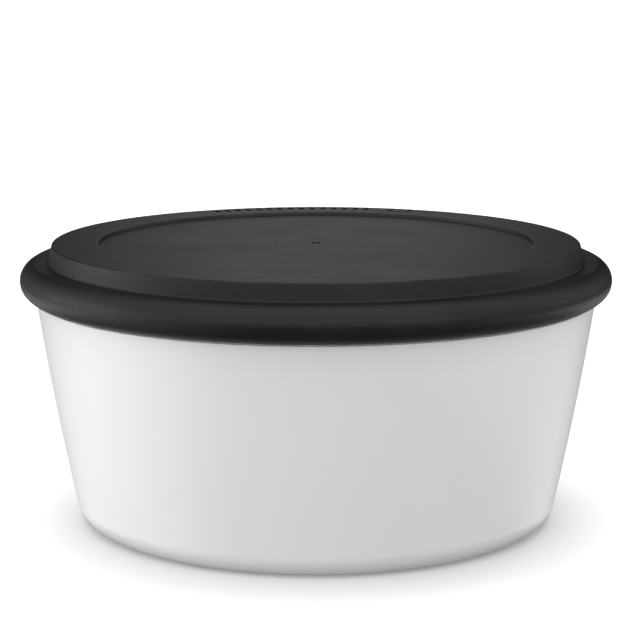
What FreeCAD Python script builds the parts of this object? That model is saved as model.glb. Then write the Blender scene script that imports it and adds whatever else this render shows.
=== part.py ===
import FreeCAD, Part
import math
import os
from types import SimpleNamespace

import Sketcher

# A go stone bowl: a round moulded bowl whose wall flares upwards, and a moulded lid that pushes on.
# The origin is the centre of the bowl's footprint, on the surface that it stands on. +Z points up
# through the lid, and the row of marks on the lid is on the +Y side. Lengths are in millimetres,
# heights are above the surface that the bowl stands on, and angles are in degrees.

SIZES = [
    # The bowl's outside
    ("foot_radius", 55.7, "outer edge of the ring that the bowl stands on"),
    ("corner_radius", 6.4, "round between the foot ring and the wall"),
    ("wall_curve_radius", 850.0, "slight outward curve of the wall, seen in section"),
    ("shoulder_radius", 71.05, "top of the wall"),
    ("shoulder_height", 57.45, "step where the wall ends and the neck under the lid begins"),
    ("neck_radius", 70.3, "outside of the neck"),
    ("rim_height", 64.3, "top of the bowl"),
    ("ridge_height", 61.0, "centre of the snap ridge round the neck"),
    ("ridge_radius", 0.6, "half round section of the snap ridge"),
    # The bowl's inside and underside
    ("wall_thickness", 2.5, "wall, measured square to its surface"),
    ("bore_radius", 68.5, "inside of the neck"),
    ("floor_height", 3.2, "inside floor"),
    ("inner_corner_radius", 6.0, "round between the inside floor and the wall"),
    ("base_recess", 0.9, "how far the middle of the underside is raised"),
    ("foot_inner_radius", 50.5, "inner edge of the foot ring"),
    ("base_slope", 0.6, "run of the sloping side of the base recess"),
    # The lid's outside
    ("lid_height", 71.0, "top of the lid"),
    ("lid_edge_radius", 66.9, "edge of the raised top"),
    ("recess_radius", 55.2, "edge of the recess in the top"),
    ("recess_depth", 0.8, "depth of the recess in the top"),
    ("recess_slope", 0.3, "run of the sloping side of the recess"),
    ("recess_crown", 0.15, "how far the recess's floor rises from its edge to its middle"),
    ("step_base_radius", 67.8, "foot of the step, where it meets the ledge"),
    ("ledge_height", 66.6, "flat ledge round the step"),
    ("bead_centre_radius", 70.5, "centre of the bead's round section"),
    ("bead_centre_height", 62.2, "centre of the bead's round section"),
    ("bead_radius", 4.5, "outside of the bead's round section"),
    # The lid's inside
    ("lid_thickness", 1.8, "skin of the lid"),
    ("lip_radius", 71.3, "opening at the bottom of the bead"),
    ("seat_height", 64.6, "roof of the channel over the bowl's rim"),
    ("plug_radius", 68.15, "outside of the skirt that plugs the bowl's mouth"),
    ("plug_thickness", 1.5, "thickness of that skirt"),
    ("plug_height", 60.6, "bottom of that skirt"),
    # Moulding marks
    ("gate_flat_radius", 3.0, "flat round the gate mark in the lid"),
    ("gate_nub_radius", 0.5, "nub in the middle of each gate mark"),
    ("gate_radius", 1.4, "outside of the groove round the nub"),
    ("gate_depth", 0.35, "depth of the groove round the nub"),
    # The row of marks on the lid
    ("mark_row_radius", 63.0, "middle of the row"),
    ("mark_depth", 0.3, "depth of every mark"),
    ("bar_length", 4.4, "length of a bar, along the lid's radius"),
    ("bar_width", 1.3, "width of a bar, with round ends"),
    ("bar_count", 15, "bars in the row"),
    ("row_start_angle", 26.2, "first bar, from +Y towards -X"),
    ("row_angle", 39.2, "from the first bar to the last, towards +X"),
    ("ring_angle", 338.0, "ring after the row, from +Y towards -X"),
    ("ring_radius", 3.5, "outside of the ring"),
    ("ring_width", 0.9, "width of the ring's groove"),
    # Rounded edges
    ("rim_rounding", 0.7, "both edges of the bowl's rim"),
    ("shoulder_rounding", 0.2, "edge of the shoulder"),
    ("foot_rounding", 0.4, "edges of the base recess"),
    ("lid_edge_rounding", 0.4, "edge of the raised top"),
    ("step_rounding", 0.5, "inner corner between the step and the ledge"),
    ("recess_rounding", 0.2, "edges of the recess in the top"),
    ("lip_rounding", 0.5, "edges of the bead's opening"),
    ("plug_rounding", 0.5, "bottom edges of the plug skirt"),
]

LEFT = 1
RIGHT = -1
CENTRE_POINT = 3
ORIGIN_POINT = (-1, 1)
SKETCH_AXIS = {"DistanceX": -2, "DistanceY": -1}
MATCH = 0.01

doc = FreeCAD.newDocument("stone_bowl")
sheet = doc.addObject("Spreadsheet::Sheet", "Sizes")
for row, (alias, amount, meaning) in enumerate(SIZES, start=1):
    sheet.set(f"A{row}", meaning)
    sheet.set(f"B{row}", str(amount))
    sheet.setAlias(f"B{row}", alias)
doc.recompute()


class Size:
    """A size of the design: its value, and the expression that gives it from the sheet."""

    def __init__(self, expression, value):
        self.expression = expression
        self.value = value

    def __add__(self, other):
        return Size(f"({self.expression} + {other.expression})", self.value + other.value)

    def __sub__(self, other):
        return Size(f"({self.expression} - {other.expression})", self.value - other.value)


ZERO = Size("0", 0.0)
size = SimpleNamespace(
    **{alias: Size(f"Sizes.{alias}", float(sheet.get(alias))) for alias, _, _ in SIZES}
)


def number(coordinate):
    return coordinate.value if isinstance(coordinate, Size) else coordinate


def vector(point):
    return FreeCAD.Vector(number(point[0]), number(point[1]), 0)


def origin_feature(body, role):
    """One of a body's own origin planes or axes, found by its role."""
    return next(item for item in body.Origin.OriginFeatures if item.Role == role)


def new_body(label):
    body = doc.addObject("PartDesign::Body", label)
    body.Label = label
    body.Placement = FreeCAD.Placement()
    return body


def new_sketch(body, name, plane):
    sketch = body.newObject("Sketcher::SketchObject", name)
    sketch.AttachmentSupport = (origin_feature(body, plane), [""])
    sketch.MapMode = "FlatFace"
    return sketch


def dimension(sketch, kind, places, amount):
    """Adds a dimension to a sketch and binds it to the sheet."""
    index = sketch.addConstraint(Sketcher.Constraint(kind, *places, amount.value))
    sketch.setExpression(f"Constraints[{index}]", amount.expression)


def pin(sketch, edge, place, point):
    """Dimensions a point of an edge from the origin, in each coordinate that is given as a Size."""
    for kind, coordinate in zip(("DistanceX", "DistanceY"), point):
        if coordinate is ZERO:
            sketch.addConstraint(Sketcher.Constraint("PointOnObject", edge, place, SKETCH_AXIS[kind]))
        elif isinstance(coordinate, Size):
            dimension(sketch, kind, (*ORIGIN_POINT, edge, place), coordinate)


class Outline:
    """A closed outline of lines and arcs on a body's XZ plane, drawn anticlockwise.

    A point is (across, up). A coordinate given as a Size is dimensioned from the origin. A plain
    number is where that coordinate starts, and the outline's other constraints settle it.
    """

    def __init__(self, body, name, start):
        self.sketch = new_sketch(body, name, "XZ_Plane")
        self.start = start
        self.here = start
        self.ends = []

    def line(self, end, smooth=False):
        segment = Part.LineSegment(vector(self.here), vector(end))
        edge = self.sketch.addGeometry(segment, False)
        self.join(edge, 1, 2, end, smooth)

    def arc(self, end, centre, radius, turn, smooth=False):
        """Draws an arc that turns LEFT or RIGHT about its centre, and returns its edge."""
        middle = vector(centre)
        circle = Part.Circle(middle, FreeCAD.Vector(0, 0, 1), number(radius))
        ends = (self.here, end)[::turn]
        angles = [math.atan2(*(vector(point) - middle)[1::-1]) for point in ends]
        if angles[1] < angles[0]:
            angles[1] += 2 * math.pi
        edge = self.sketch.addGeometry(Part.ArcOfCircle(circle, *angles), False)
        self.join(edge, *(1, 2)[::turn], end, smooth)
        pin(self.sketch, edge, CENTRE_POINT, centre)
        dimension(self.sketch, "Radius", (edge,), radius)
        return edge

    def join(self, edge, first, last, end, smooth):
        """Joins an edge to the one before it, smoothly or at a corner, and dimensions its end."""
        if self.ends:
            kind = "Tangent" if smooth else "Coincident"
            self.sketch.addConstraint(Sketcher.Constraint(kind, *self.ends[-1][1], edge, first))
        else:
            pin(self.sketch, edge, first, self.start)
        self.ends.append(((edge, first), (edge, last)))
        if end is not self.start:
            pin(self.sketch, edge, last, end)
        self.here = end

    def close(self):
        """Closes the outline along the axis and returns its sketch."""
        self.line(self.start)
        self.sketch.addConstraint(Sketcher.Constraint("Coincident", *self.ends[-1][1], *self.ends[0][0]))
        return self.sketch


def turned(body, kind, name, sketch):
    """Turns an outline right round the Z axis, as a Revolution or a Groove."""
    before = body.Tip.Shape.Volume if body.Tip else 0.0
    feature = body.newObject(f"PartDesign::{kind}", name)
    feature.Profile = sketch
    feature.ReferenceAxis = (sketch, ["V_Axis"])
    feature.Angle = 360.0
    doc.recompute()
    if kind == "Groove":
        confirm_cut(feature, before)
    return feature


def confirm_cut(feature, before):
    if not feature.Shape.Volume < before:
        raise RuntimeError(f"{feature.Label} removes nothing")


def rounded(body, name, rings, radius):
    """Rounds the circular edges at each (radius, height) of the body's latest feature."""
    base = body.Tip
    names = []
    for index, edge in enumerate(base.Shape.Edges, start=1):
        if not isinstance(edge.Curve, Part.Circle):
            continue
        for across, up in rings:
            beside = abs(edge.Curve.Radius - number(across))
            above = abs(edge.Curve.Center.z - number(up))
            if max(beside, above) < MATCH:
                names.append(f"Edge{index}")
    if len(names) != len(rings):
        raise RuntimeError(f"{name} found {len(names)} of {len(rings)} edges")
    feature = body.newObject("PartDesign::Fillet", name)
    feature.Base = (base, names)
    feature.setExpression("Radius", radius.expression)
    doc.recompute()
    return feature


def circle_point(centre, radius, across=None, up=None):
    """The missing coordinate of a point on a circle, on its outer side or its lower side."""
    if across is None:
        return centre[0].value + math.sqrt(radius.value**2 - (up.value - centre[1].value) ** 2)
    return centre[1].value - math.sqrt(radius.value**2 - (across.value - centre[0].value) ** 2)


def gate_mark(body, surface_height, inward):
    """Cuts the ring that the injection gate leaves round its nub, on a flat face on the axis."""
    bottom = surface_height + size.gate_depth if inward > 0 else surface_height - size.gate_depth
    low, high = (surface_height, bottom)[::inward]
    outline = Outline(body, "GateOutline", (size.gate_nub_radius, low))
    outline.line((size.gate_radius, low))
    outline.line((size.gate_radius, high))
    outline.line((size.gate_nub_radius, high))
    return turned(body, "Groove", "GateMark", outline.close())


def wall_centre():
    """Centre of the wall's curve: it passes the shoulder and is tangent to the bottom corner."""
    corner = FreeCAD.Vector(size.foot_radius.value, size.corner_radius.value, 0)
    shoulder = FreeCAD.Vector(size.shoulder_radius.value, size.shoulder_height.value, 0)
    to_corner = size.wall_curve_radius.value - size.corner_radius.value
    to_shoulder = size.wall_curve_radius.value
    apart = shoulder - corner
    along = (to_corner**2 - to_shoulder**2 + apart.Length**2) / (2 * apart.Length)
    beside = math.sqrt(to_corner**2 - along**2)
    direction = apart / apart.Length
    return corner + direction * along + FreeCAD.Vector(-direction.y, direction.x, 0) * beside


def beyond(centre, towards, distance):
    """The point at a distance from a centre, on the line from it towards another point."""
    return centre + (towards - centre).normalize() * distance


def make_bowl():
    """The bowl: wall, floor, foot ring, neck and snap ridge in one moulding."""
    body = new_body("bowl")

    curve = wall_centre()
    corner = FreeCAD.Vector(size.foot_radius.value, size.corner_radius.value, 0)
    wall_foot = beyond(curve, corner, size.wall_curve_radius.value)
    inner_curve_radius = size.wall_curve_radius - size.wall_thickness
    inner_corner_up = size.floor_height.value + size.inner_corner_radius.value
    reach = inner_curve_radius.value - size.inner_corner_radius.value
    inner_corner_across = curve.x + math.sqrt(reach**2 - (inner_corner_up - curve.y) ** 2)
    inner_corner = FreeCAD.Vector(inner_corner_across, inner_corner_up, 0)
    inner_foot = beyond(curve, inner_corner, inner_curve_radius.value)
    bore_foot_up = curve.y - math.sqrt(
        inner_curve_radius.value**2 - (size.bore_radius.value - curve.x) ** 2
    )

    base_edge = size.foot_inner_radius - size.base_slope
    outline = Outline(body, "Profile", (ZERO, size.base_recess))
    outline.line((base_edge, size.base_recess))
    outline.line((size.foot_inner_radius, ZERO))
    outline.line((size.foot_radius, ZERO))
    outline.arc((wall_foot.x, wall_foot.y), (corner.x, corner.y), size.corner_radius, LEFT, smooth=True)
    shoulder = (size.shoulder_radius, size.shoulder_height)
    wall_middle = (curve.x, curve.y)
    outer_wall = outline.arc(shoulder, wall_middle, size.wall_curve_radius, LEFT, smooth=True)
    outline.line((size.neck_radius, size.shoulder_height))
    ridge_low = size.ridge_height.value - size.ridge_radius.value
    ridge_high = size.ridge_height.value + size.ridge_radius.value
    outline.line((size.neck_radius, ridge_low))
    ridge = (size.neck_radius, size.ridge_height)
    outline.arc((size.neck_radius, ridge_high), ridge, size.ridge_radius, LEFT)
    outline.line((size.neck_radius, size.rim_height))
    outline.line((size.bore_radius, size.rim_height))
    outline.line((size.bore_radius, bore_foot_up))
    inner_wall = outline.arc((inner_foot.x, inner_foot.y), wall_middle, inner_curve_radius, RIGHT)
    outline.sketch.addConstraint(
        Sketcher.Constraint("Coincident", inner_wall, CENTRE_POINT, outer_wall, CENTRE_POINT)
    )
    outline.arc(
        (inner_corner.x, size.floor_height), (inner_corner.x, inner_corner.y),
        size.inner_corner_radius, RIGHT, smooth=True,
    )
    outline.line((ZERO, size.floor_height), smooth=True)
    turned(body, "Revolution", "Shell", outline.close())

    rim = [(size.neck_radius, size.rim_height), (size.bore_radius, size.rim_height)]
    rounded(body, "RimRounding", rim, size.rim_rounding)
    rounded(body, "ShoulderRounding", [shoulder], size.shoulder_rounding)
    recess = [(size.foot_inner_radius, ZERO), (base_edge, size.base_recess)]
    rounded(body, "FootRounding", recess, size.foot_rounding)
    gate_mark(body, size.base_recess, inward=1)
    return body


def make_lid():
    """The lid: raised top, step, ledge, bead and plug skirt in one moulding."""
    body = new_body("lid")

    bead = (size.bead_centre_radius, size.bead_centre_height)
    bead_inside = size.bead_radius - size.lid_thickness
    recess_floor = size.lid_height - size.recess_depth
    recess_middle = recess_floor + size.recess_crown
    panel_underside = recess_floor - size.lid_thickness
    panel_middle = panel_underside + size.recess_crown
    edge_underside = size.lid_height - size.lid_thickness
    recess_foot = size.recess_radius - size.recess_slope
    plug_inside = size.plug_radius - size.plug_thickness
    channel_across = circle_point(bead, bead_inside, up=size.seat_height)
    lip_inner_up = circle_point(bead, bead_inside, across=size.lip_radius)
    lip_outer_up = circle_point(bead, size.bead_radius, across=size.lip_radius)
    ledge_across = circle_point(bead, size.bead_radius, up=size.ledge_height)

    outline = Outline(body, "Profile", (ZERO, panel_middle))
    outline.line((size.gate_flat_radius, panel_middle))
    outline.line((size.recess_radius, panel_underside))
    outline.line((size.recess_radius + size.recess_slope, edge_underside))
    outline.line((size.lid_edge_radius - size.lid_thickness, edge_underside))
    outline.line((plug_inside, size.seat_height))
    outline.line((plug_inside, size.plug_height))
    outline.line((size.plug_radius, size.plug_height))
    outline.line((size.plug_radius, size.seat_height))
    outline.line((channel_across, size.seat_height))
    outline.arc((size.lip_radius, lip_inner_up), bead, bead_inside, RIGHT)
    outline.line((size.lip_radius, lip_outer_up))
    outline.arc((ledge_across, size.ledge_height), bead, size.bead_radius, LEFT)
    outline.line((size.step_base_radius, size.ledge_height))
    outline.line((size.lid_edge_radius, size.lid_height))
    outline.line((size.recess_radius, size.lid_height))
    outline.line((recess_foot, recess_floor))
    outline.line((size.gate_flat_radius, recess_middle))
    outline.line((ZERO, recess_middle))
    turned(body, "Revolution", "Shell", outline.close())

    rounded(body, "EdgeRounding", [(size.lid_edge_radius, size.lid_height)], size.lid_edge_rounding)
    rounded(body, "StepRounding", [(size.step_base_radius, size.ledge_height)], size.step_rounding)
    recess = [(size.recess_radius, size.lid_height), (recess_foot, recess_floor)]
    rounded(body, "RecessRounding", recess, size.recess_rounding)
    lip = [(size.lip_radius, lip_inner_up), (size.lip_radius, lip_outer_up)]
    rounded(body, "LipRounding", lip, size.lip_rounding)
    plug = [(plug_inside, size.plug_height), (size.plug_radius, size.plug_height)]
    rounded(body, "PlugRounding", plug, size.plug_rounding)
    gate_mark(body, recess_middle, inward=-1)
    cut_bars(body)
    cut_ring(body)
    return body


def mark_sketch(body, name, angle):
    """A sketch on top of the lid, turned so that its vertical axis points at a mark."""
    sketch = new_sketch(body, name, "XY_Plane")
    sketch.setExpression("AttachmentOffset.Base.z", size.lid_height.expression)
    sketch.setExpression("AttachmentOffset.Rotation.Angle", angle.expression)
    return sketch


def cut_marks(body, name, sketch):
    """Sinks the outlines of a mark sketch into the top of the lid."""
    before = body.Tip.Shape.Volume
    pocket = body.newObject("PartDesign::Pocket", name)
    pocket.Profile = sketch
    pocket.Type = "Length"
    pocket.setExpression("Length", size.mark_depth.expression)
    doc.recompute()
    confirm_cut(pocket, before)
    return pocket


def cut_bars(body):
    """A row of short plain bars, each pointing at the lid's centre."""
    sketch = mark_sketch(body, "BarOutline", size.row_start_angle)
    half_width = Size(f"{size.bar_width.expression} / 2", size.bar_width.value / 2)
    half_straight = Size(
        f"({size.bar_length.expression} - {size.bar_width.expression}) / 2",
        (size.bar_length.value - size.bar_width.value) / 2,
    )
    outer = size.mark_row_radius + half_straight
    inner = size.mark_row_radius - half_straight
    upright = FreeCAD.Vector(0, 0, 1)
    outer_circle = Part.Circle(vector((ZERO, outer)), upright, half_width.value)
    inner_circle = Part.Circle(vector((ZERO, inner)), upright, half_width.value)
    outer_end = sketch.addGeometry(Part.ArcOfCircle(outer_circle, 0, math.pi), False)
    inner_end = sketch.addGeometry(Part.ArcOfCircle(inner_circle, math.pi, 2 * math.pi), False)
    sides = []
    for side in (1, -1):
        across = side * half_width.value
        segment = Part.LineSegment(vector((across, inner)), vector((across, outer)))
        sides.append(sketch.addGeometry(segment, False))
    joins = [
        (sides[0], 2, outer_end, 1), (outer_end, 2, sides[1], 2),
        (sides[1], 1, inner_end, 1), (inner_end, 2, sides[0], 1),
    ]
    for join in joins:
        sketch.addConstraint(Sketcher.Constraint("Tangent", *join))
    pin(sketch, outer_end, CENTRE_POINT, (ZERO, outer))
    pin(sketch, inner_end, CENTRE_POINT, (ZERO, inner))
    dimension(sketch, "Radius", (outer_end,), half_width)
    sketch.addConstraint(Sketcher.Constraint("Equal", outer_end, inner_end))
    bar = cut_marks(body, "Bar", sketch)

    row = body.newObject("PartDesign::PolarPattern", "BarRow")
    row.Originals = [bar]
    row.Axis = (origin_feature(body, "Z_Axis"), [""])
    row.Reversed = True
    row.setExpression("Angle", size.row_angle.expression)
    row.setExpression("Occurrences", size.bar_count.expression)
    body.Tip = row
    doc.recompute()
    confirm_cut(row, bar.Shape.Volume)


def cut_ring(body):
    """A plain ring after the row of bars."""
    sketch = mark_sketch(body, "RingOutline", size.ring_angle)
    for radius in (size.ring_radius, size.ring_radius - size.ring_width):
        circle = Part.Circle(vector((ZERO, size.mark_row_radius)), FreeCAD.Vector(0, 0, 1), radius.value)
        edge = sketch.addGeometry(circle, False)
        pin(sketch, edge, CENTRE_POINT, (ZERO, size.mark_row_radius))
        dimension(sketch, "Radius", (edge,), radius)
    cut_marks(body, "Ring", sketch)


def check_document():
    """Stops the build if any object failed or any sketch is left loose."""
    for item in doc.Objects:
        if {"Invalid", "Error"} & set(item.State):
            raise RuntimeError(f"{item.Label} did not compute: {item.State}")
        if item.isDerivedFrom("Sketcher::SketchObject") and not item.FullyConstrained:
            raise RuntimeError(f"{item.Label} is not fully constrained")


def check_solid(body):
    shape = body.Shape
    if shape.isNull() or not shape.isValid() or len(shape.Solids) != 1:
        raise RuntimeError(f"{body.Label} is not one valid solid")


sub_parts = [make_bowl(), make_lid()]
doc.recompute()
check_document()
for sub_part in sub_parts:
    check_solid(sub_part)

os.makedirs("parts", exist_ok=True)
for sub_part in sub_parts:
    sub_part.Shape.exportStep(f"parts/{sub_part.Label}.step")
    shape = sub_part.Shape
    low, high = shape.BoundBox.ZMin, shape.BoundBox.ZMax
    print(f"{sub_part.Label}: {shape.Volume / 1000:.1f} cm3, z {low:.2f} to {high:.2f}")
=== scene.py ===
import math

import bpy
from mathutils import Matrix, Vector


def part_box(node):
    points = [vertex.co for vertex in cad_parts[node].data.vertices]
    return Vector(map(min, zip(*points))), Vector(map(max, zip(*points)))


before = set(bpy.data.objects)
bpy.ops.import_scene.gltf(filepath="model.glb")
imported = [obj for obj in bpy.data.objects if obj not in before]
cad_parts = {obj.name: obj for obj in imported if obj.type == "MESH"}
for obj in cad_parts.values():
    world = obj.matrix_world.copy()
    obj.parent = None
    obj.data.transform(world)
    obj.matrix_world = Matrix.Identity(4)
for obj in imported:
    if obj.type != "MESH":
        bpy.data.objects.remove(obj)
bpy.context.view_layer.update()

# A go stone bowl of moulded plastic with a push-on lid, on a pale floor under soft studio light.
# Lengths are in metres. The bowl stands at the origin, +Z is up and the camera is on the -Y side.

MM = 0.001


# Circular edges of the bowl and the lid, measured on the parts' own surfaces

SAME_HEIGHT = 0.01 * MM


def points_of(node):
    return [vertex.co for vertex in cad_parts[node].data.vertices]


def radii_at(node, height):
    """Distances from the upright axis of those of a node's points that lie at one height."""
    return [point.xy.length for point in points_of(node) if abs(point.z - height) < SAME_HEIGHT]


LID_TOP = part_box("lid")[1].z
FOOT_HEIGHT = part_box("bowl")[0].z
LID_WIDEST = max(points_of("lid"), key=lambda point: point.xy.length)
# Each edge is its radius and its height.
LID_EDGE = (max(radii_at("lid", LID_TOP)), LID_TOP)
RECESS_EDGE = (min(radii_at("lid", LID_TOP)), LID_TOP)
BEAD_EDGE = (LID_WIDEST.xy.length, LID_WIDEST.z)
FOOT_EDGE = (max(radii_at("bowl", FOOT_HEIGHT)), FOOT_HEIGHT)


# Camera

AIM = Vector((0.0, 0.0, 35 * MM))
CAMERA_DISTANCE = 528.2 * MM
CAMERA_PITCH = math.radians(12.106)
CAMERA_SHIFT = 0.0987
CAMERA_CLIP_START = 0.01
# Focal length and sensor width in millimetres, as Blender's camera takes them
CAMERA_LENS = 116.42
SENSOR_WIDTH = 36.0


def add_camera():
    data = bpy.data.cameras.new("camera")
    data.lens = CAMERA_LENS
    data.sensor_width = SENSOR_WIDTH
    data.shift_y = CAMERA_SHIFT
    data.clip_start = CAMERA_CLIP_START
    camera = bpy.data.objects.new("camera", data)
    back = CAMERA_DISTANCE * math.cos(CAMERA_PITCH)
    rise = CAMERA_DISTANCE * math.sin(CAMERA_PITCH)
    camera.location = AIM + Vector((0.0, -back, rise))
    camera.rotation_euler = (math.pi / 2 - CAMERA_PITCH, 0.0, 0.0)
    bpy.context.scene.collection.objects.link(camera)
    bpy.context.scene.camera = camera


# Nodes

# Sockets of a Mix node that mixes colours, where names alone are not unique
MIX_SHARE, MIX_FIRST, MIX_SECOND, MIX_RESULT = 0, 6, 7, 2
# The values between which most of a noise lies
NOISE_SPAN = (0.3, 0.7)
WIDE_NOISE_SPAN = (0.25, 0.75)


class Tree:
    """The nodes of a material or a world, made one at a time and wired as they are made."""

    def __init__(self, owner):
        owner.use_nodes = True
        self.tree = owner.node_tree
        self.tree.nodes.clear()

    def add(self, kind, *inputs, **settings):
        """Adds a node. Each input is (socket name or index, constant or output socket)."""
        made = self.tree.nodes.new("ShaderNode" + kind)
        for name, value in settings.items():
            setattr(made, name, value)
        for place, value in inputs:
            socket = made.inputs[place]
            if isinstance(value, bpy.types.NodeSocket):
                self.tree.links.new(value, socket)
            else:
                socket.default_value = value
        return made

    def math(self, operation, *values, clamp=False):
        inputs = list(enumerate(values))
        return self.add("Math", *inputs, operation=operation, use_clamp=clamp).outputs[0]

    def ramp(self, value, low, high, out_low=0.0, out_high=1.0):
        """Maps a value smoothly from one range to another, held at both ends."""
        made = self.add(
            "MapRange", ("Value", value), ("From Min", low), ("From Max", high),
            ("To Min", out_low), ("To Max", out_high), interpolation_type="SMOOTHSTEP",
        )
        return made.outputs["Result"]

    def noise(self, vector, scale, detail=2.0, roughness=0.5):
        made = self.add(
            "TexNoise", ("Vector", vector), ("Scale", scale), ("Detail", detail), ("Roughness", roughness)
        )
        return made.outputs["Fac"]

    def mix(self, share, first, second):
        """Mixes two colours. A constant colour has three values."""
        made = self.add("Mix", (MIX_SHARE, share), data_type="RGBA")
        for place, colour in ((MIX_FIRST, first), (MIX_SECOND, second)):
            if isinstance(colour, bpy.types.NodeSocket):
                self.tree.links.new(colour, made.inputs[place])
            else:
                made.inputs[place].default_value = (*colour, 1.0)
        return made.outputs[MIX_RESULT]


# Light

# The studio is a dome of soft light round the object. Azimuth 0 is the camera's side and 90 is +X.
# The strengths are a least-squares fit's, rounded to 0.05. Three were set one by one: the round light at
# elevation 5, the narrow panel at the back and the even light from below.
# Round soft lights: azimuth, elevation and angular radius in degrees, then strength.
ROUND_LIGHTS = [
    (0, 90, 60, 0.45),
    (0, 45, 50, 0.55),
    (0, 5, 45, 0.10),
    (-40, 20, 30, 0.55),
    (40, 20, 30, 0.55),
    (-90, 8, 35, 1.05),
    (-90, -18, 45, 0.80),
]
# Upright panels of light: azimuth and half width in degrees, sine of the lowest and highest
# elevation, then strength. A negative strength is a dark flag that takes light away.
PANELS = [
    (180, 75, -0.03, 0.75, -1.10),
    (180, 8, -0.03, 0.45, 0.50),
    (-132, 50, -0.45, -0.05, 0.15),
    (-100, 80, -0.45, -0.30, 1.00),
    (100, 80, -0.45, -0.30, 1.35),
]
# How a panel's edges fade, in sines of elevation: the reach of the lower fade to each side of the
# panel's lowest elevation, and where its light ends and is full again, from its highest.
PANEL_FADE_LOW = 0.04
PANEL_FADE_HIGH = (0.25, -0.05)
# Even light from above and from below: sine of the elevation where it starts and where it is full,
# then strength.
FIELDS = [
    (-0.06, 0.02, 1.10),
    (-0.25, -0.45, 0.30),
]
WHITE = (1.0, 1.0, 1.0, 1.0)


def toward(azimuth, elevation):
    """The direction of a light as it is seen from the object, of length 1."""
    across = math.cos(math.radians(elevation))
    turn = math.radians(azimuth)
    return math.sin(turn) * across, -math.cos(turn) * across, math.sin(math.radians(elevation))


def add_world():
    """The studio's light, as one smooth white dome."""
    world = bpy.data.worlds.new("studio")
    bpy.context.scene.world = world
    tree = Tree(world)
    direction = tree.add("TexCoord").outputs["Generated"]
    parts = tree.add("SeparateXYZ", ("Vector", direction)).outputs
    level = tree.add("CombineXYZ", ("X", parts["X"]), ("Y", parts["Y"])).outputs[0]
    level = tree.add("VectorMath", (0, level), operation="NORMALIZE").outputs[0]

    def facing(vector, azimuth, elevation, spread):
        aim = toward(azimuth, elevation)
        nearness = tree.add("VectorMath", (0, vector), (1, aim), operation="DOT_PRODUCT").outputs["Value"]
        return tree.ramp(nearness, math.cos(math.radians(spread)), 1.0)

    lights = [(tree.ramp(parts["Z"], start, full), strength) for start, full, strength in FIELDS]
    for azimuth, elevation, radius, strength in ROUND_LIGHTS:
        lights.append((facing(direction, azimuth, elevation, radius), strength))
    for azimuth, half_width, low, high, strength in PANELS:
        shape = facing(level, azimuth, 0, half_width)
        bottom = tree.ramp(parts["Z"], low - PANEL_FADE_LOW, low + PANEL_FADE_LOW)
        top = tree.ramp(parts["Z"], high + PANEL_FADE_HIGH[0], high + PANEL_FADE_HIGH[1])
        lights.append((tree.math("MULTIPLY", tree.math("MULTIPLY", shape, bottom), top), strength))
    total = 0.0
    for shape, strength in lights:
        total = tree.math("MULTIPLY_ADD", shape, strength, total)
    total = tree.math("MAXIMUM", total, 0.0)
    background = tree.add("Background", ("Color", WHITE), ("Strength", total))
    tree.add("OutputWorld", ("Surface", background.outputs[0]))


# Floor and backdrop

FLOOR_HALF = 8.0
FLOOR_COLOUR = (0.70, 0.70, 0.70, 1.0)
FLOOR_GRAIN = 900.0
FLOOR_ROUGHNESS = (0.78, 0.86)
FLOOR_SPECULAR = 0.2
# A very soft sun that lights the floor alone, from behind the bowl, so that the shade lies in front.
FLOOR_LIGHT_STRENGTH = 2.8
FLOOR_LIGHT_TILT = math.radians(16)
FLOOR_LIGHT_SPREAD = math.radians(50)

BACKDROP_RADIUS = 6.0
BACKDROP_HEIGHT = 4.0
BACKDROP_SIDES = 64
BACKDROP_MOTTLE = 0.4
BACKDROP_GLOW = (1.02, 1.06)


def add_stage(name, points, faces):
    """Adds a part of the set that only the camera sees. The dome alone lights the object."""
    data = bpy.data.meshes.new(name)
    data.from_pydata(points, [], faces)
    piece = bpy.data.objects.new(name, data)
    piece.visible_diffuse = False
    piece.visible_glossy = False
    piece.visible_transmission = False
    piece.visible_shadow = False
    bpy.context.scene.collection.objects.link(piece)
    return piece


def floor_material():
    """White matt paper."""
    material = bpy.data.materials.new("floor_paper")
    tree = Tree(material)
    grain = tree.noise(tree.add("TexCoord").outputs["Object"], FLOOR_GRAIN)
    shader = tree.add(
        "BsdfPrincipled", ("Base Color", FLOOR_COLOUR),
        ("Roughness", tree.ramp(grain, *NOISE_SPAN, *FLOOR_ROUGHNESS)),
        ("Specular IOR Level", FLOOR_SPECULAR),
    )
    tree.add("OutputMaterial", ("Surface", shader.outputs[0]))
    return material


def add_floor():
    """A white floor. The dome lights the object from below too, in the floor's place."""
    corners = [(x * FLOOR_HALF, y * FLOOR_HALF, 0.0) for x, y in ((-1, -1), (1, -1), (1, 1), (-1, 1))]
    floor = add_stage("floor", corners, [(0, 1, 2, 3)])
    floor.data.materials.append(floor_material())
    return floor


def add_floor_light(floor):
    data = bpy.data.lights.new("floor_light", "SUN")
    data.energy = FLOOR_LIGHT_STRENGTH
    data.angle = FLOOR_LIGHT_SPREAD
    lamp = bpy.data.objects.new("floor_light", data)
    lamp.rotation_euler = (-FLOOR_LIGHT_TILT, 0.0, 0.0)
    bpy.context.scene.collection.objects.link(lamp)
    lit = bpy.data.collections.new("lit_by_floor_light")
    lit.objects.link(floor)
    lamp.light_linking.receiver_collection = lit


def backdrop_material():
    """Paper lit to white, a little uneven."""
    material = bpy.data.materials.new("backdrop_paper")
    tree = Tree(material)
    mottle = tree.noise(tree.add("TexCoord").outputs["Object"], BACKDROP_MOTTLE)
    glow = tree.add("Emission", ("Strength", tree.ramp(mottle, *NOISE_SPAN, *BACKDROP_GLOW)))
    tree.add("OutputMaterial", ("Surface", glow.outputs[0]))
    return material


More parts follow.
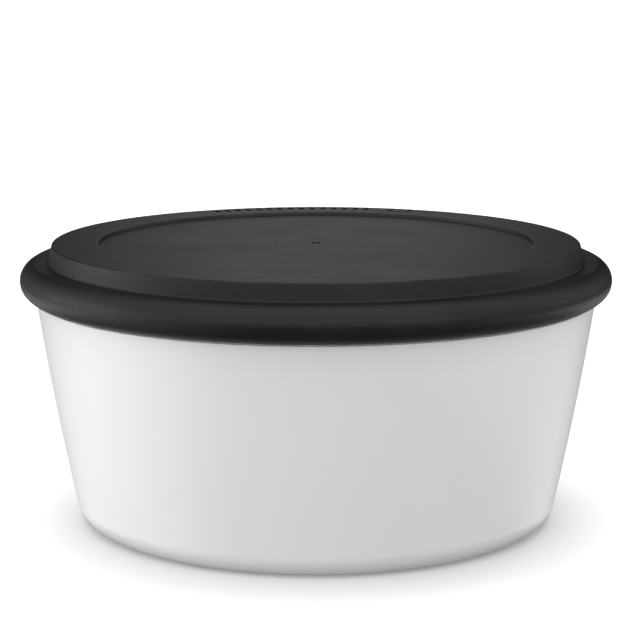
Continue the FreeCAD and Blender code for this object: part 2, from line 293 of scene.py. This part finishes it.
def add_backdrop():
    """A round white screen that stands on the floor far from the object, on every side."""
    ring = [math.tau * step / BACKDROP_SIDES for step in range(BACKDROP_SIDES)]
    points = [
        (BACKDROP_RADIUS * math.cos(turn), BACKDROP_RADIUS * math.sin(turn), height)
        for height in (0.0, BACKDROP_HEIGHT) for turn in ring
    ]
    faces = []
    for side in range(BACKDROP_SIDES):
        following = (side + 1) % BACKDROP_SIDES
        faces.append((side, following, following + BACKDROP_SIDES, side + BACKDROP_SIDES))
    backdrop = add_stage("backdrop", points, faces)
    backdrop.data.materials.append(backdrop_material())


# Plastics. A noise's scale is the number of its features in a metre.

# Scratches: the scale along their length against that across it, and the values of the noise from
# which a line begins to show and is full
SCRATCH_SQUEEZE = 0.03
SCRATCH_SPAN = (0.66, 0.72)

BOWL_BLOTCHES = 35.0
BOWL_GRAIN = 2600.0
BOWL_GRAIN_RELIEF = (0.012 * MM, 0.35)
BOWL_WAVES = 28.0
BOWL_WAVES_RELIEF = (0.10 * MM, 0.25)
BOWL_SCRATCHES = 900.0
BOWL_SCRATCH_TURN = 0.5
BOWL_SCRATCH_ROUGHNESS = 0.06
BOWL_COLOURS = ((0.695, 0.695, 0.695), (0.71, 0.709, 0.707))
BOWL_ROUGHNESS = (0.28, 0.32)
BOWL_SPECULAR = 0.8

SCUFF_REACH = 5 * MM
SCUFF_NOISE = 420.0
SCUFF_SPAN = (0.45, 0.65)
SCUFF_COLOUR = (0.58, 0.575, 0.565)
SCUFF_COVER = 0.5
SCUFF_ROUGHNESS = 0.25

LID_BLOTCHES = 45.0
LID_GRAIN = 2200.0
LID_GRAIN_RELIEF = (0.02 * MM, 0.5)
LID_WAVES = 32.0
LID_WAVES_RELIEF = (0.08 * MM, 0.2)
LID_SCRATCHES = 800.0
LID_SCRATCH_TURN = 1.1
LID_SCRATCH_COLOUR = (0.016, 0.016, 0.0162)
LID_SCRATCH_COVER = 0.4
LID_SCRATCH_ROUGHNESS = 0.05
LID_COLOURS = ((0.0038, 0.0038, 0.0040), (0.0064, 0.0064, 0.0066))
LID_ROUGHNESS = (0.40, 0.44)
LID_SPECULAR = 0.21

SPECKS = 1500.0
SPECK_SPAN = (0.62, 0.70)
SPECK_COVER = 0.5
# Lighter colour of the pale specks, and of the lid's edges, where it is part wear and part painted sheen
SPECK_WEAR_AND_SHEEN_COLOUR = (0.014, 0.014, 0.0142)

# Edges of the lid that are worn by handling and painted lighter, part wear and part painted sheen, each with
# the reach of the wear and the painted sheen
WEAR_AND_SHEEN_EDGES = [(LID_EDGE, 1.2 * MM), (RECESS_EDGE, 0.9 * MM), (BEAD_EDGE, 2.2 * MM)]
WEAR_AND_SHEEN_NOISE = 160.0
WEAR_AND_SHEEN_SPAN = (0.35, 0.7)
WEAR_AND_SHEEN_COVER = 0.5
WEAR_POLISH = 0.08


def radius_and_height(tree, place):
    """Distance from the upright axis, and height, of a point on the surface."""
    parts = tree.add("SeparateXYZ", ("Vector", place)).outputs
    flat = tree.add("CombineXYZ", ("X", parts["X"]), ("Y", parts["Y"])).outputs[0]
    radius = tree.add("VectorMath", (0, flat), operation="LENGTH").outputs["Value"]
    return radius, parts["Z"]


def near_edge(tree, radius, height, edge, reach):
    """1 on a circular edge, falling to 0 at reach from it."""
    across = tree.math("SUBTRACT", radius, edge[0])
    up = tree.math("SUBTRACT", height, edge[1])
    offset = tree.add("CombineXYZ", ("X", across), ("Y", up)).outputs[0]
    distance = tree.add("VectorMath", (0, offset), operation="LENGTH").outputs["Value"]
    return tree.ramp(distance, reach, 0.0)


def scratches(tree, place, turn, scale):
    """Sparse fine lines that all run one way."""
    spun = tree.add(
        "Mapping", ("Vector", place), ("Rotation", (0.0, 0.0, turn)),
        ("Scale", (scale, scale * SCRATCH_SQUEEZE, scale)),
    ).outputs[0]
    lines = tree.noise(spun, 1.0, detail=3.0, roughness=0.6)
    return tree.ramp(lines, *SCRATCH_SPAN)


def finish_plastic(tree, colour, roughness, specular, reliefs):
    """Adds the shader. Each relief is its height, then (distance, strength)."""
    normal = []
    for height, (distance, strength) in reliefs:
        bump = tree.add("Bump", ("Height", height), ("Distance", distance), ("Strength", strength), *normal)
        normal = [("Normal", bump.outputs[0])]
    shader = tree.add(
        "BsdfPrincipled", ("Base Color", colour), ("Roughness", roughness),
        ("Specular IOR Level", specular), *normal,
    )
    tree.add("OutputMaterial", ("Surface", shader.outputs[0]))


def bowl_material():
    """White satin moulded plastic, scuffed a little where it stands."""
    material = bpy.data.materials.new("bowl_white_plastic")
    tree = Tree(material)
    place = tree.add("TexCoord").outputs["Object"]
    radius, height = radius_and_height(tree, place)
    blotches = tree.noise(place, BOWL_BLOTCHES, detail=3.0)
    grain = tree.noise(place, BOWL_GRAIN, detail=2.0)
    waves = tree.noise(place, BOWL_WAVES, detail=1.0)
    lines = scratches(tree, place, BOWL_SCRATCH_TURN, BOWL_SCRATCHES)
    foot = near_edge(tree, radius, height, FOOT_EDGE, SCUFF_REACH)
    scuff = tree.math("MULTIPLY", foot, tree.ramp(tree.noise(place, SCUFF_NOISE, detail=4.0), *SCUFF_SPAN))

    colour = tree.mix(tree.ramp(blotches, *NOISE_SPAN), *BOWL_COLOURS)
    colour = tree.mix(tree.math("MULTIPLY", scuff, SCUFF_COVER), colour, SCUFF_COLOUR)
    roughness = tree.ramp(blotches, *WIDE_NOISE_SPAN, *BOWL_ROUGHNESS)
    roughness = tree.math("ADD", roughness, tree.math("MULTIPLY", scuff, SCUFF_ROUGHNESS))
    roughness = tree.math("ADD", roughness, tree.math("MULTIPLY", lines, BOWL_SCRATCH_ROUGHNESS), clamp=True)

    reliefs = [(waves, BOWL_WAVES_RELIEF), (grain, BOWL_GRAIN_RELIEF)]
    finish_plastic(tree, colour, roughness, BOWL_SPECULAR, reliefs)
    return material


def lid_material():
    """Black soft satin plastic with a fine mould grain, polished by handling along its edges, which are also
    painted lighter: part wear, part painted sheen.
    """
    material = bpy.data.materials.new("lid_black_plastic")
    tree = Tree(material)
    place = tree.add("TexCoord").outputs["Object"]
    radius, height = radius_and_height(tree, place)
    blotches = tree.noise(place, LID_BLOTCHES, detail=4.0)
    grain = tree.noise(place, LID_GRAIN, detail=3.0)
    speckle = tree.noise(place, SPECKS, detail=2.0)
    waves = tree.noise(place, LID_WAVES, detail=1.0)
    lines = scratches(tree, place, LID_SCRATCH_TURN, LID_SCRATCHES)
    edges = 0.0
    for edge, reach in WEAR_AND_SHEEN_EDGES:
        edges = tree.math("MAXIMUM", edges, near_edge(tree, radius, height, edge, reach))
    worn_and_sheen = tree.math("MULTIPLY", edges, tree.ramp(tree.noise(place, WEAR_AND_SHEEN_NOISE, detail=4.0), *WEAR_AND_SHEEN_SPAN))

    colour = tree.mix(tree.ramp(blotches, *NOISE_SPAN), *LID_COLOURS)
    colour = tree.mix(tree.ramp(speckle, *SPECK_SPAN, 0.0, SPECK_COVER), colour, SPECK_WEAR_AND_SHEEN_COLOUR)
    # The lid's edges are painted lighter here: part wear, part painted sheen along the edges that catch the
    # light.
    colour = tree.mix(tree.math("MULTIPLY", worn_and_sheen, WEAR_AND_SHEEN_COVER), colour, SPECK_WEAR_AND_SHEEN_COLOUR)
    colour = tree.mix(tree.math("MULTIPLY", lines, LID_SCRATCH_COVER), colour, LID_SCRATCH_COLOUR)
    roughness = tree.ramp(blotches, *WIDE_NOISE_SPAN, *LID_ROUGHNESS)
    roughness = tree.math("SUBTRACT", roughness, tree.math("MULTIPLY", worn_and_sheen, WEAR_POLISH))
    roughness = tree.math("ADD", roughness, tree.math("MULTIPLY", lines, LID_SCRATCH_ROUGHNESS), clamp=True)

    reliefs = [(waves, LID_WAVES_RELIEF), (grain, LID_GRAIN_RELIEF)]
    finish_plastic(tree, colour, roughness, LID_SPECULAR, reliefs)
    return material


def dress(node, material):
    """Gives a CAD node its material."""
    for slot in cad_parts[node].material_slots:
        slot.material = material


add_camera()
bpy.context.scene.view_settings.view_transform = "Standard"
add_world()
add_floor_light(add_floor())
add_backdrop()
dress("bowl", bowl_material())
dress("lid", lid_material())
